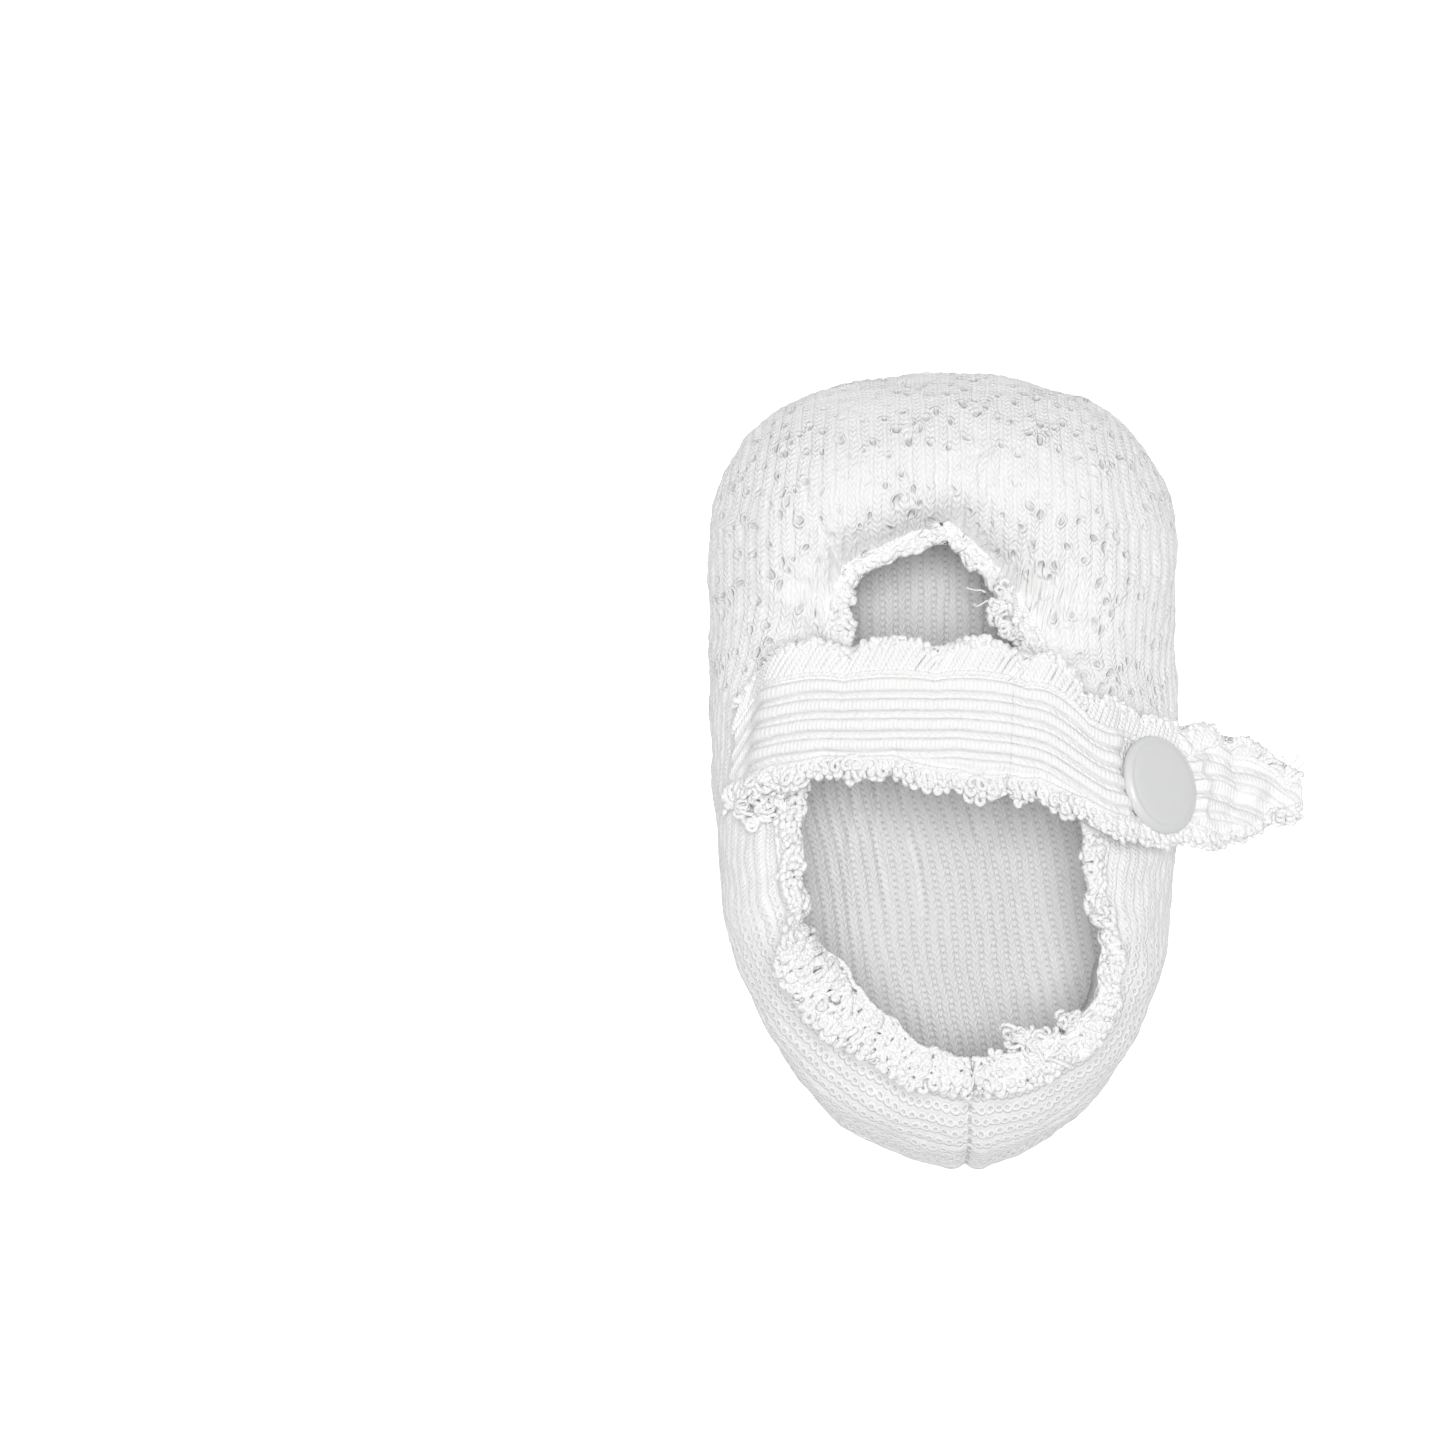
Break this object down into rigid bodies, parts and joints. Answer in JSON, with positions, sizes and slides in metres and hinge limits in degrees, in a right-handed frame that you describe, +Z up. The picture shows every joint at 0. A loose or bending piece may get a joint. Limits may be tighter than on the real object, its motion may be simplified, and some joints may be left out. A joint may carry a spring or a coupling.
{
  "type": "baby bootie",
  "caption": "Knitted baby bootie with a padded sole, an overlocked topline and an instep strap closed by a ring snap at its outer side.",
  "frame": {"origin": "middle of the sole's flat underside, on the ground", "axes": "+Z up, +Y to the toe, +X to the outer side of the foot, where the snap is"},
  "size_m": [0.0651, 0.0874, 0.0367],
  "materials": {
    "rib_knit": "matte",
    "insole_knit": "matte",
    "wadding": "matte",
    "overlock_thread": "matte",
    "cap_enamel": "satin",
    "snap_metal": "satin"
  },
  "bodies": {
    "shoe": {"sole_outer": "rib_knit", "sole_wadding": "wadding", "insole": "insole_knit", "upper": "rib_knit", "topline_overlock": "overlock_thread", "sole_seam_allowance": "overlock_thread", "heel_seam_allowance": "overlock_thread", "strap_sewn_end": "rib_knit", "strap_end_overlock_front": "overlock_thread", "strap_end_overlock_back": "overlock_thread", "strap_end_seam_thread": "overlock_thread", "snap_stud_prong_ring": "snap_metal", "snap_stud": "snap_metal"},
    "strap": {"strap_band": "rib_knit", "strap_overlock_front": "overlock_thread", "strap_overlock_back": "overlock_thread"},
    "tab": {"strap_tab": "rib_knit", "strap_tab_overlock": "overlock_thread", "snap_socket": "snap_metal", "snap_socket_spring": "snap_metal", "snap_cap_prong_ring": "snap_metal", "snap_cap": "cap_enamel"}
  },
  "joints": [
    {"name": "strap_swing", "type": "hinge", "parent": "shoe", "child": "strap", "pos_m": [-0.0183, 0.00465, 0.0305], "axis": [-0.142, -0.9899, 0], "range_deg": [0, 165]},
    {"name": "tab_peel", "type": "hinge", "parent": "strap", "child": "tab", "pos_m": [0.0174, -0.00195, 0.03371], "axis": [0.1016, -0.9742, 0.2013], "range_deg": [0, 70]}
  ]
}
